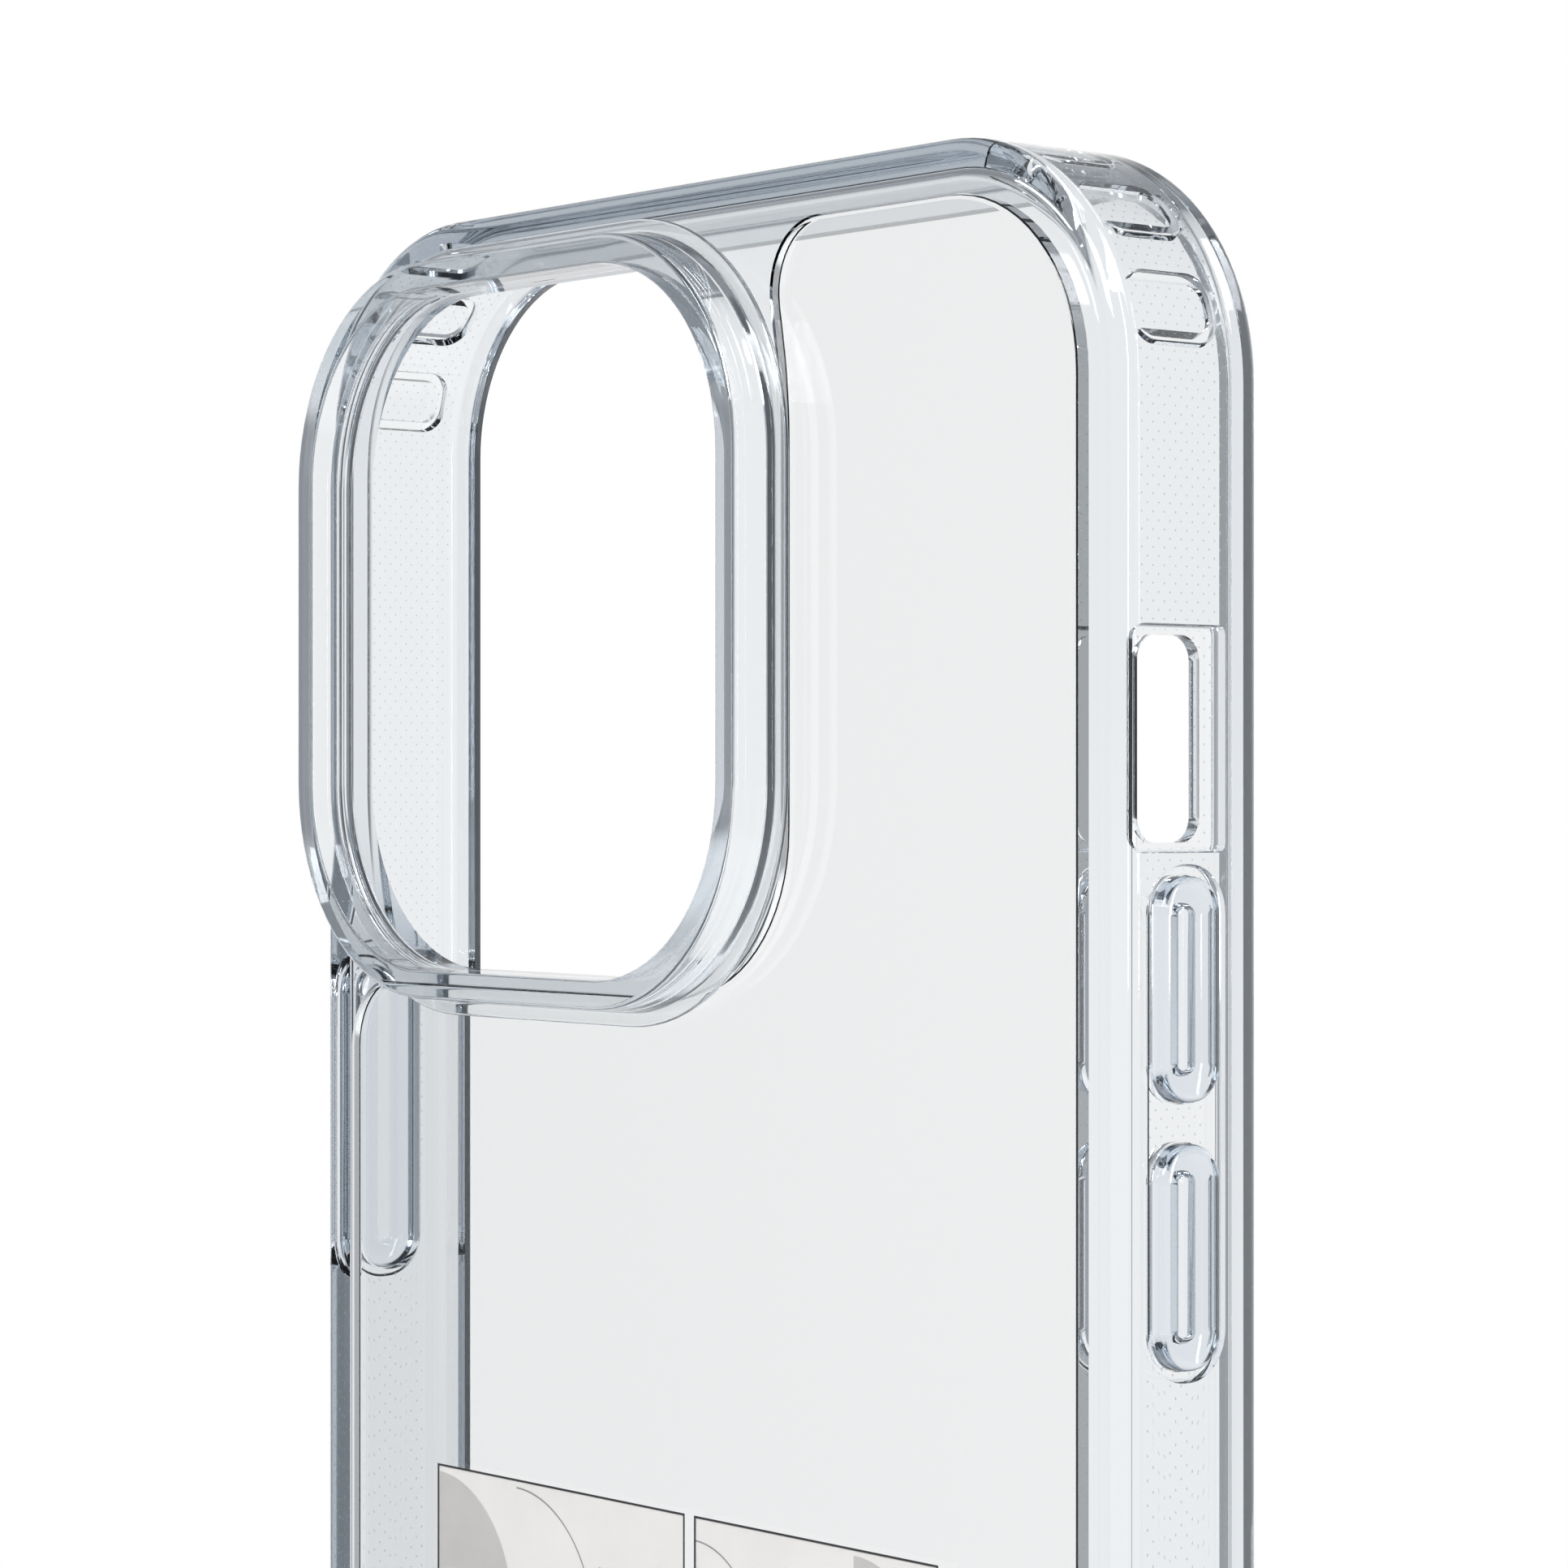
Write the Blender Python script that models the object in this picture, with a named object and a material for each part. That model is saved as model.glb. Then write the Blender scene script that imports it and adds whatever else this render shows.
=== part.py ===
# Clear slip-on phone case: a hard back plate held in a soft bumper frame, with a raised camera guard,
# three button covers that press inwards, and two printed panels on the back.
# The case stands upright: back towards -Y, open front towards +Y, volume buttons on +X.
# The origin is at the middle of its base.

import math

import bmesh
import bpy

MM = 0.001
GAP = 0.3 * MM                      # clearance between neighbouring pieces
PILL_ROUND = 0.47                   # a pill's corner radius, as a share of its width

# Case blank
WIDTH = 74.9 * MM
HEIGHT = 150.9 * MM
DEPTH = 10.8 * MM                   # back face to front edge
CORNER = 14.0 * MM                  # outer corner radius, seen from the back
EDGE = 0.9 * MM                     # rounding of the outer edges
WALL = 1.55 * MM
PLATE_THICK = 1.5 * MM
LIP_DEPTH = 1.35 * MM               # how thick the front lip is
LIP_REACH = 2.6 * MM                # how far the lip comes in from the outside
BORDER = 3.2 * MM                   # rear border between the outside and the plate
PLATE_CORNER = 10.5 * MM
PLATE_CORNER_UPPER = 5.0 * MM       # beside the camera opening, at the top
PLATE_CORNER_INNER = 10.0 * MM      # in the notch round the camera opening
PLATE_CORNER_LOWER = 4.5 * MM       # below the camera opening, at the left
PLATE_LEAN = 1.7 * MM               # the edge beside the opening leans out by this much towards the top
PLATE_BEND = 5.0 * MM               # radius where that lean starts
PLATE_BEND_Z = HEIGHT - 13.0 * MM

# Camera opening and its guard, measured from the top edge and the centre line
GUARD_RISE = 3.3 * MM
OPEN_LEFT, OPEN_RIGHT = -34.1 * MM, 7.45 * MM
OPEN_TOP, OPEN_BOTTOM = HEIGHT - 4.7 * MM, HEIGHT - 47.6 * MM
OPEN_CORNER = 11.8 * MM
LAND = 1.4 * MM                     # flat width of the guard's face
CROWN_EDGE = 0.4 * MM               # rounding of the guard's outer edge
FOOT = 1.5 * MM                     # how far the guard's foot stands out past its face
FOOT_HEIGHT = 0.8 * MM              # top of the foot above the back
FOOT_EDGE = 0.2 * MM
NOTCH_BESIDE = 2.0 * MM             # the plate stops this far to the right of the opening
NOTCH_BELOW = 0.9 * MM              # and this far below it

# Y places: the whole part is centred on Y = 0
BACK = (GUARD_RISE - DEPTH) / 2
FRONT = BACK + DEPTH
FACE = BACK - GUARD_RISE
SEAT = BACK + PLATE_THICK           # inner face of the plate, where the phone lies
LIP = FRONT - LIP_DEPTH

# Buttons: pill-shaped covers in the side walls
BUTTON_MID_Y = BACK + 5.1 * MM
BUTTON_WIDE = 4.5 * MM
BUTTON_PROUD = 0.55 * MM
BUTTON_TRAVEL = 0.4 * MM
VOLUME_LONG = 12.2 * MM
VOLUME_UP_Z = HEIGHT - 46.9 * MM
VOLUME_DOWN_Z = HEIGHT - 61.3 * MM
SIDE_LONG = 20.2 * MM
SIDE_Z = HEIGHT - 57.9 * MM
RECESS_GROW = 0.6 * MM              # the recess round a button is this much larger all round
RECESS_DEEP = 0.5 * MM

# Mute-switch cut-out in the right wall
MUTE_LONG, MUTE_WIDE = 11.2 * MM, 4.7 * MM
MUTE_CORNER = 1.4 * MM
MUTE_Z = HEIGHT - 33.4 * MM
MUTE_MID_Y = BACK + 4.4 * MM
SCOOP_LONG, SCOOP_WIDE = 12.2 * MM, 6.6 * MM
SCOOP_DEEP = 0.7 * MM

# Bottom wall
PORT_LONG, PORT_WIDE = 13.0 * MM, 6.0 * MM
SLOT_LONG, SLOT_WIDE = 13.5 * MM, 3.0 * MM
SLOT_X = 20.5 * MM
PHONE_MID_Y = SEAT + 3.95 * MM      # middle of the phone's thickness

# Air pockets inside the corners
POCKET_LONG, POCKET_WIDE = 6.2 * MM, 4.0 * MM
POCKET_DEEP = 0.7 * MM
POCKET_MID_Y = BACK + 4.3 * MM
POCKET_ANGLE = math.radians(28)     # from the pocket on a corner's diagonal to the one on each side of it

# Printed panels on the plate
PRINT_THICK = 0.1 * MM
PRINT_TOP = HEIGHT - 79.2 * MM
PRINT_TALL = 34.0 * MM
PRINT_LEFT_SPAN = (-24.5 * MM, 0.7 * MM)
PRINT_RIGHT_SPAN = (1.6 * MM, 23.2 * MM)

FACING = {
    "Y": (math.radians(90), 0, 0),                  # outline in X and Z, thickness along Y
    "X": (math.radians(90), 0, math.radians(90)),   # outline in Y and Z, thickness along X
    "Z": (0, 0, 0),                                 # outline in X and Y, thickness along Z
}


def clear_scene():
    for thing in list(bpy.data.objects):
        bpy.data.objects.remove(thing, do_unlink=True)


def new_collection(name):
    collection = bpy.data.collections.new(name)
    bpy.context.scene.collection.children.link(collection)
    return collection


def material(name, colour, roughness, alpha=1.0, transmission=0.0):
    mat = bpy.data.materials.new(name)
    mat.use_nodes = True
    shader = mat.node_tree.nodes["Principled BSDF"]
    shader.inputs["Base Color"].default_value = (*colour, 1.0)
    shader.inputs["Roughness"].default_value = roughness
    shader.inputs["Alpha"].default_value = alpha
    shader.inputs["Transmission Weight"].default_value = transmission
    mat.diffuse_color = (*colour, alpha)
    return mat


def box_corners(low, high, radius):
    # Four corners of a rounded rectangle, anticlockwise.
    return [(low[0], low[1], radius), (high[0], low[1], radius),
            (high[0], high[1], radius), (low[0], high[1], radius)]


def pill_corners(wide, long):
    # An upright pill centred on the origin.
    return box_corners((-wide / 2, -long / 2), (wide / 2, long / 2), wide * PILL_ROUND)


def rounded_outline(corners, steps):
    # Each corner is (x, y, radius): the sharp corner is replaced by an arc of that radius.
    points = []
    for index, (x, y, radius) in enumerate(corners):
        before = corners[index - 1]
        after = corners[(index + 1) % len(corners)]
        back = math.atan2(before[1] - y, before[0] - x)
        ahead = math.atan2(after[1] - y, after[0] - x)
        half = ((ahead - back + math.pi) % (2 * math.pi) - math.pi) / 2
        middle = back + half
        reach = radius / abs(math.sin(half))
        centre = (x + reach * math.cos(middle), y + reach * math.sin(middle))
        sweep = math.copysign(math.pi / 2 - abs(half), half)
        for step in range(steps + 1):
            turn = middle + math.pi + sweep * (1 - 2 * step / steps)
            points.append((centre[0] + radius * math.cos(turn), centre[1] + radius * math.sin(turn)))
    return points


def slab(name, corners, thickness, place, facing, collection, edge=0.0, steps=6):
    # A flat outline with thickness, made from a filled 2D curve; edge rounds it all round.
    curve = bpy.data.curves.new(name, "CURVE")
    curve.dimensions = "2D"
    curve.fill_mode = "BOTH"
    curve.extrude = thickness / 2 - edge
    curve.bevel_depth = edge
    curve.bevel_resolution = 1
    curve.offset = -edge
    outline = rounded_outline(corners, steps)
    spline = curve.splines.new("POLY")
    spline.points.add(len(outline) - 1)
    for point, (x, y) in zip(spline.points, outline):
        point.co = (x, y, 0, 1)
    spline.use_cyclic_u = True
    guide = bpy.data.objects.new(name + "_outline", curve)
    guide.location = place
    guide.rotation_euler = FACING[facing]
    collection.objects.link(guide)
    bpy.context.view_layer.update()
    evaluated = guide.evaluated_get(bpy.context.evaluated_depsgraph_get())
    mesh = bpy.data.meshes.new_from_object(evaluated)
    mesh.name = name
    work = bmesh.new()
    work.from_mesh(mesh)
    bmesh.ops.remove_doubles(work, verts=work.verts, dist=0.000001)
    bmesh.ops.recalc_face_normals(work, faces=work.faces)
    work.to_mesh(mesh)
    work.free()
    solid = bpy.data.objects.new(name, mesh)
    solid.matrix_world = guide.matrix_world.copy()
    collection.objects.link(solid)
    bpy.data.objects.remove(guide, do_unlink=True)
    return solid


def combine(target, other, operation):
    change = target.modifiers.new(operation.lower() + "_" + other.name, "BOOLEAN")
    change.operation = operation
    change.solver = "EXACT"
    change.object = other
    other.hide_render = True
    other.display_type = "WIRE"


def finish(solid, mat):
    solid.data.materials.clear()
    solid.data.materials.append(mat)
    solid.data.shade_smooth()
    solid.data.set_sharp_from_angle(angle=math.radians(35))


def case_rectangle(inset):
    low = (-WIDTH / 2 + inset, inset)
    high = (WIDTH / 2 - inset, HEIGHT - inset)
    return box_corners(low, high, CORNER - inset)


def plate_corners(grow):
    # The plate fills the border and steps round the camera opening at the top left.
    side = WIDTH / 2 - BORDER + grow
    top = HEIGHT - BORDER + grow
    notch_right = OPEN_RIGHT + NOTCH_BESIDE - grow
    notch_bottom = OPEN_BOTTOM - NOTCH_BELOW + grow
    corner = PLATE_CORNER + grow
    return [(side, BORDER - grow, corner),
            (side, top, corner),
            (notch_right - PLATE_LEAN, top, PLATE_CORNER_UPPER + grow),
            (notch_right, PLATE_BEND_Z, PLATE_BEND - grow),
            (notch_right, notch_bottom, PLATE_CORNER_INNER - grow),
            (-side, notch_bottom, PLATE_CORNER_LOWER + grow),
            (-side, BORDER - grow, corner)]


def guard_corners(grow):
    # The camera opening's outline, grown outwards.
    low = (OPEN_LEFT - grow, OPEN_BOTTOM - grow)
    high = (OPEN_RIGHT + grow, OPEN_TOP + grow)
    return box_corners(low, high, OPEN_CORNER + grow)


def between(low, high):
    return (low + high) / 2


def make_back_plate(parts):
    place = (0, between(BACK, SEAT), 0)
    return slab("back_plate", plate_corners(0), PLATE_THICK, place, "Y", parts)


def make_camera_guard(parts, cutters):
    foot_top = BACK - FOOT_HEIGHT
    foot_base = BACK - GAP
    foot_place = (0, between(foot_top, foot_base), 0)
    crown_base = foot_top + GAP
    crown_place = (0, between(FACE, crown_base), 0)
    guard = slab("camera_guard", guard_corners(LAND + FOOT), foot_base - foot_top, foot_place, "Y", parts,
                 edge=FOOT_EDGE)
    crown = slab("guard_crown", guard_corners(LAND + CROWN_EDGE), crown_base - FACE, crown_place, "Y",
                 cutters, edge=CROWN_EDGE)
    hole = slab("guard_hole", guard_corners(0), 4 * GUARD_RISE, (0, BACK, 0), "Y", cutters)
    combine(guard, crown, "UNION")
    combine(guard, hole, "DIFFERENCE")
    return guard


def make_button(name, side, long, z, parts, cutters):
    # side is +1 for the right wall and -1 for the left. The origin lies on the slide's axis.
    outer = WIDTH / 2 + BUTTON_PROUD
    inner = WIDTH / 2 - WALL + BUTTON_TRAVEL
    place = (side * between(inner, outer), BUTTON_MID_Y, z)
    button = slab(name, pill_corners(BUTTON_WIDE, long), outer - inner, place, "X", parts, edge=0.5 * MM)
    pocket_place = (side * inner, BUTTON_MID_Y, z)
    pocket = slab(name + "_pocket", pill_corners(1.6 * MM, long - BUTTON_WIDE), 1.4 * MM, pocket_place, "X",
                  cutters, steps=4)
    combine(button, pocket, "DIFFERENCE")
    return button


def cut_wall(frame, name, corners, x, depth, y, z, cutters):
    # A cut through or into a side wall, centred on its outer face.
    combine(frame, slab(name, corners, 2 * depth, (x, y, z), "X", cutters), "DIFFERENCE")


def cut_buttons(frame, cutters):
    right, left = WIDTH / 2, -WIDTH / 2
    hole_wide = BUTTON_WIDE + 2 * GAP
    recess_wide = BUTTON_WIDE + 2 * RECESS_GROW
    volume_mid = between(VOLUME_UP_Z, VOLUME_DOWN_Z)
    volume_recess = VOLUME_UP_Z - VOLUME_DOWN_Z + VOLUME_LONG + 2 * RECESS_GROW
    side_recess = SIDE_LONG + 2 * RECESS_GROW
    cut_wall(frame, "volume_recess", pill_corners(recess_wide, volume_recess), right, RECESS_DEEP,
             BUTTON_MID_Y, volume_mid, cutters)
    cut_wall(frame, "side_recess", pill_corners(recess_wide, side_recess), left, RECESS_DEEP,
             BUTTON_MID_Y, SIDE_Z, cutters)
    for name, x, long, z in (("volume_up_hole", right, VOLUME_LONG, VOLUME_UP_Z),
                             ("volume_down_hole", right, VOLUME_LONG, VOLUME_DOWN_Z),
                             ("side_hole", left, SIDE_LONG, SIDE_Z)):
        cut_wall(frame, name, pill_corners(hole_wide, long + 2 * GAP), x, 2 * WALL, BUTTON_MID_Y, z, cutters)


def cut_mute_switch(frame, cutters):
    hole = box_corners((-MUTE_WIDE / 2, -MUTE_LONG / 2), (MUTE_WIDE / 2, MUTE_LONG / 2), MUTE_CORNER)
    scoop = box_corners((-SCOOP_WIDE / 2, -SCOOP_LONG / 2), (SCOOP_WIDE / 2, SCOOP_LONG / 2), MUTE_CORNER)
    cut_wall(frame, "mute_scoop", scoop, WIDTH / 2, SCOOP_DEEP, MUTE_MID_Y, MUTE_Z, cutters)
    cut_wall(frame, "mute_hole", hole, WIDTH / 2, 2 * WALL, MUTE_MID_Y, MUTE_Z, cutters)


def cut_bottom(frame, cutters):
    openings = [("charge_port", 0, PORT_LONG, PORT_WIDE),
                ("speaker_slot_left", -SLOT_X, SLOT_LONG, SLOT_WIDE),
                ("speaker_slot_right", SLOT_X, SLOT_LONG, SLOT_WIDE)]
    for name, x, long, wide in openings:
        outline = box_corners((-long / 2, -wide / 2), (long / 2, wide / 2), wide * PILL_ROUND)
        combine(frame, slab(name, outline, 4 * WALL, (x, PHONE_MID_Y, 0), "Z", cutters), "DIFFERENCE")


def cut_corner_pockets(frame, cutters):
    # Three shallow pill-shaped pockets on the inside of each corner: one on its diagonal, one on each side.
    inner_radius = CORNER - WALL
    for corner in range(4):
        diagonal = math.radians(45 + 90 * corner)
        side = math.copysign(1, math.cos(diagonal))
        up = math.copysign(1, math.sin(diagonal))
        centre_x = side * (WIDTH / 2 - CORNER)
        centre_z = between(0, HEIGHT) + up * (HEIGHT / 2 - CORNER)
        for turn in (diagonal - POCKET_ANGLE, diagonal, diagonal + POCKET_ANGLE):
            place = (centre_x + inner_radius * math.cos(turn), POCKET_MID_Y,
                     centre_z + inner_radius * math.sin(turn))
            outline = box_corners((-POCKET_LONG / 2, -POCKET_WIDE / 2), (POCKET_LONG / 2, POCKET_WIDE / 2),
                                  POCKET_WIDE * 0.45)
            name = "corner_pocket_%d_%d" % (corner, round(math.degrees(turn)))
            pocket = slab(name, outline, 2 * POCKET_DEEP, place, "X", cutters, steps=3)
            pocket.rotation_euler = (math.radians(90) - turn, 0, math.radians(90))
            combine(frame, pocket, "DIFFERENCE")


def make_bumper_frame(parts, cutters):
    frame = slab("bumper_frame", case_rectangle(0), DEPTH, (0, between(BACK, FRONT), 0), "Y", parts, edge=EDGE,
                 steps=10)
    cavity = slab("phone_cavity", case_rectangle(WALL), LIP - SEAT, (0, between(SEAT, LIP), 0), "Y", cutters,
                  steps=8)
    lip = slab("lip_opening", case_rectangle(LIP_REACH), DEPTH, (0, FRONT, 0), "Y", cutters, steps=8)
    rear = slab("plate_opening", plate_corners(GAP), 2 * DEPTH, (0, BACK, 0), "Y", cutters)
    camera = slab("camera_opening", guard_corners(0), 2 * DEPTH, (0, BACK, 0), "Y", cutters)
    for cutter in (cavity, lip, rear, camera):
        combine(frame, cutter, "DIFFERENCE")
    cut_buttons(frame, cutters)
    cut_mute_switch(frame, cutters)
    cut_bottom(frame, cutters)
    cut_corner_pockets(frame, cutters)
    return frame


def make_print_panel(name, span, parts):
    outline = box_corners((span[0], PRINT_TOP - PRINT_TALL), (span[1], PRINT_TOP), 0.2 * MM)
    outer = BACK - GAP - PRINT_THICK
    return slab(name, outline, PRINT_THICK, (0, between(outer, BACK - GAP), 0), "Y", parts, steps=2)


def main():
    clear_scene()
    parts = new_collection("phone_case")
    cutters = new_collection("cutters")
    hard_clear = material("hard_clear_plastic", (0.90, 0.92, 0.93), 0.05, alpha=0.35, transmission=0.9)
    soft_clear = material("soft_clear_plastic", (0.80, 0.84, 0.88), 0.12, alpha=0.45, transmission=0.85)
    guard_clear = material("guard_clear_plastic", (0.78, 0.80, 0.82), 0.08, alpha=0.45, transmission=0.85)
    button_clear = material("button_clear_plastic", (0.76, 0.80, 0.85), 0.12, alpha=0.5, transmission=0.85)
    ink = material("printed_ink", (0.86, 0.84, 0.82), 0.45)

    finish(make_back_plate(parts), hard_clear)
    finish(make_bumper_frame(parts, cutters), soft_clear)
    finish(make_camera_guard(parts, cutters), guard_clear)
    for name, side, long, z in (("volume_up_button", 1, VOLUME_LONG, VOLUME_UP_Z),
                                ("volume_down_button", 1, VOLUME_LONG, VOLUME_DOWN_Z),
                                ("side_button", -1, SIDE_LONG, SIDE_Z)):
        finish(make_button(name, side, long, z, parts, cutters), button_clear)
    finish(make_print_panel("print_panel_left", PRINT_LEFT_SPAN, parts), ink)
    finish(make_print_panel("print_panel_right", PRINT_RIGHT_SPAN, parts), ink)


main()
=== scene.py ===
import math

import bpy
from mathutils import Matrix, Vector


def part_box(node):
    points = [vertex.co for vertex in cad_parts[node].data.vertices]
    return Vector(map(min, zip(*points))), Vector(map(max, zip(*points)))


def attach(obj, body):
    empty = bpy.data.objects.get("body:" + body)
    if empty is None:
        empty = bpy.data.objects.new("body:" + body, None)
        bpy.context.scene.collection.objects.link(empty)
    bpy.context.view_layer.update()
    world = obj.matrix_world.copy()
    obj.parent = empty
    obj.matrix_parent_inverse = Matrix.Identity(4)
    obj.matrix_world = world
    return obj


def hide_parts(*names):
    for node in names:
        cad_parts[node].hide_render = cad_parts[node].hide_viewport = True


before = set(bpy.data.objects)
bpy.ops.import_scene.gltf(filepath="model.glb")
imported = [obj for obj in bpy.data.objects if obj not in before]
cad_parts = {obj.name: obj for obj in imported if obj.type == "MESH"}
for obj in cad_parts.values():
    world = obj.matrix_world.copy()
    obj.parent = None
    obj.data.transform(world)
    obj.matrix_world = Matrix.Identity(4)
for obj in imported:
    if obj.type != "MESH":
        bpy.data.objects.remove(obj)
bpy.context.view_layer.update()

mm = 0.001
sideways = {"X": Vector((1, 0, 0)), "Y": Vector((0, 1, 0)), "Z": Vector((0, 0, 1))}
touch = 0.02 * mm        # how close a point has to be to a place to count as there
aligned = 0.999          # how straight a face or an edge has to look along a direction to count as along it

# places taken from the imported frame
frameLow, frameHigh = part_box("bumper_frame")
plateLow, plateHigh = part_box("back_plate")
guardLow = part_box("camera_guard")[0]
backY = frameLow.y                      # back face of the case
frontY = frameHigh.y
seatY = plateHigh.y                     # inner face of the plate
topZ = frameHigh.z
sideX = frameHigh.x


def deselectAll():
    if bpy.context.object and bpy.context.object.mode != "OBJECT":
        bpy.ops.object.mode_set(mode="OBJECT")
    bpy.ops.object.select_all(action="DESELECT")


def work(piece):
    # makes one piece the active and only selected one, in object mode
    deselectAll()
    piece.select_set(True)
    bpy.context.view_layer.objects.active = piece


def clearPick(piece):
    work(piece)
    for part in (piece.data.polygons, piece.data.edges, piece.data.vertices):
        for item in part:
            item.select = False


def pickFaces(piece, test):
    # selects the faces that pass the test and goes into face mode
    clearPick(piece)
    for face in piece.data.polygons:
        face.select = test(face)
    bpy.context.tool_settings.mesh_select_mode = (False, False, True)
    bpy.ops.object.mode_set(mode="EDIT")


def pickEdges(piece, test):
    # selects the edges whose two ends pass the test and goes into edge mode
    clearPick(piece)
    points = piece.data.vertices
    for edge in piece.data.edges:
        edge.select = test(points[edge.vertices[0]].co, points[edge.vertices[1]].co)
    bpy.context.tool_settings.mesh_select_mode = (False, True, False)
    bpy.ops.object.mode_set(mode="EDIT")


def block(name, low, high):
    # a cube primitive at its size and place
    deselectAll()
    low, high = Vector(low), Vector(high)
    bpy.ops.mesh.primitive_cube_add(size=1, location=(low + high) / 2)
    piece = bpy.context.object
    piece.name = name
    piece.scale = high - low
    bpy.ops.object.transform_apply(location=True, rotation=True, scale=True)
    return piece


def roundUprights(piece, along, radius, steps, test=None):
    # bevels the edges that run along one axis; test(point) narrows it to some of them
    axis = sideways[along]

    def upright(a, b):
        line = b - a
        if line.length < touch or abs(line.normalized().dot(axis)) < aligned:
            return False
        return test is None or test((a + b) / 2)

    pickEdges(piece, upright)
    bpy.ops.mesh.bevel(offset=radius, segments=steps, profile=0.5, affect="EDGES")
    bpy.ops.object.mode_set(mode="OBJECT")


def facing(direction):
    # a face test: the face looks along direction
    direction = Vector(direction)
    return lambda face: face.normal.dot(direction) >= aligned


def roundRim(piece, direction, radius, steps):
    # bevels the rim of the faces that look one way
    pickFaces(piece, facing(direction))
    bpy.ops.mesh.region_to_loop()
    bpy.ops.mesh.bevel(offset=radius, segments=steps, profile=0.5, affect="EDGES", clamp_overlap=True)
    bpy.ops.object.mode_set(mode="OBJECT")


def stepUp(piece, direction, moves):
    # insets the face that looks one way and raises it, once for each (inset, rise) pair
    pickFaces(piece, facing(direction))
    for inward, rise in moves:
        bpy.ops.mesh.inset(thickness=inward, depth=rise, use_even_offset=True)
    bpy.ops.object.mode_set(mode="OBJECT")


def roundedBlock(name, low, high, along, radius, steps, rims=()):
    # a block with rounded uprights; rims holds (direction, radius, steps) for each rounded rim
    piece = block(name, low, high)
    roundUprights(piece, along, radius, steps)
    for direction, rimRadius, rimSteps in rims:
        roundRim(piece, direction, rimRadius, rimSteps)
    return piece


def boolean(piece, other, operation="DIFFERENCE"):
    # cuts or joins and removes the tool
    work(piece)
    change = piece.modifiers.new("cut", "BOOLEAN")
    change.operation = operation
    change.solver = "EXACT"
    change.object = other
    bpy.ops.object.modifier_apply(modifier=change.name)
    bpy.data.objects.remove(other, do_unlink=True)


def softenEdges(piece, width, steps, angle=38):
    # rounds whatever sharp edges are left
    work(piece)
    bevel = piece.modifiers.new("soften", "BEVEL")
    bevel.width = width
    bevel.segments = steps
    bevel.limit_method = "ANGLE"
    bevel.angle_limit = math.radians(angle)
    bevel.miter_outer = "MITER_ARC"
    bpy.ops.object.modifier_apply(modifier=bevel.name)


def mergeDoubles(piece, distance=0.002 * mm):
    work(piece)
    bpy.ops.object.mode_set(mode="EDIT")
    bpy.ops.mesh.select_all(action="SELECT")
    bpy.ops.mesh.remove_doubles(threshold=distance)
    bpy.ops.mesh.dissolve_degenerate(threshold=distance)
    bpy.ops.mesh.normals_make_consistent(inside=False)
    bpy.ops.object.mode_set(mode="OBJECT")


def smooth(piece, angle=40):
    # smooth shading that keeps the flat faces flat
    work(piece)
    bpy.ops.object.shade_smooth_by_angle(angle=math.radians(angle))
    weigh = piece.modifiers.new("weigh", "WEIGHTED_NORMAL")
    weigh.mode = "FACE_AREA"
    weigh.keep_sharp = True
    bpy.ops.object.modifier_apply(modifier=weigh.name)


def dress(piece, *finishes):
    piece.data.materials.clear()
    for finish in finishes:
        piece.data.materials.append(finish)


def join(pieces, name):
    deselectAll()
    for piece in pieces:
        piece.select_set(True)
    bpy.context.view_layer.objects.active = pieces[0]
    bpy.ops.object.join()
    pieces[0].name = name
    return pieces[0]


def newMaterial(name):
    material = bpy.data.materials.new(name)
    material.use_nodes = True
    nodes = material.node_tree.nodes
    return material, nodes, material.node_tree.links, nodes["Principled BSDF"]


def addNode(nodes, kind, values):
    node = nodes.new("ShaderNode" + kind)
    for name, value in values.items():
        node.inputs[name].default_value = value
    return node


def noise(nodes, links, place, scale, detail):
    node = addNode(nodes, "TexNoise", {"Scale": scale, "Detail": detail})
    links.new(place, node.inputs["Vector"])
    return node.outputs["Fac"]


def remap(nodes, links, source, span, result=(0.0, 1.0), kind="LINEAR"):
    # turns a value between the two ends of span into one between the two ends of result
    node = addNode(nodes, "MapRange", {"From Min": span[0], "From Max": span[1],
                                       "To Min": result[0], "To Max": result[1]})
    node.interpolation_type = kind
    links.new(source, node.inputs["Value"])
    return node.outputs["Result"]


def blendColours(nodes, links, amount, first, second):
    # first and second are colours or outputs
    node = nodes.new("ShaderNodeMix")
    node.data_type = "RGBA"
    links.new(amount, node.inputs["Factor"])
    for socket, value in ((node.inputs[6], first), (node.inputs[7], second)):
        if isinstance(value, tuple):
            socket.default_value = (*value, 1)
        else:
            links.new(value, socket)
    return node.outputs[2]


def dotPattern(nodes, links, dots):
    # 1 on each staggered micro-dot and 0 between them, laid out along the inner wall
    along = nodes.new("ShaderNodeUVMap")
    along.uv_map = "wallRun"
    squeeze = (math.sqrt(2) / dots["rowGap"] / 2, math.sqrt(2) / dots["inRow"], 1)
    lattice = addNode(nodes, "Mapping", {"Scale": squeeze, "Rotation": (0, 0, math.radians(45))})
    links.new(along.outputs["UV"], lattice.inputs["Vector"])
    cell = nodes.new("ShaderNodeTexVoronoi")
    cell.voronoi_dimensions = "2D"
    cell.inputs["Scale"].default_value = 1.0
    cell.inputs["Randomness"].default_value = 0.0
    links.new(lattice.outputs["Vector"], cell.inputs["Vector"])
    return remap(nodes, links, cell.outputs["Distance"], (dots["radius"] * 0.7, dots["radius"]), (1.0, 0.0))


moulding = {"rippleDetail": 2.0, "rippleDepth": 0.1 * mm,
            "speckleScale": 2600.0, "speckleDetail": 1.0, "speckleSpan": (0.35, 0.75)}


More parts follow.
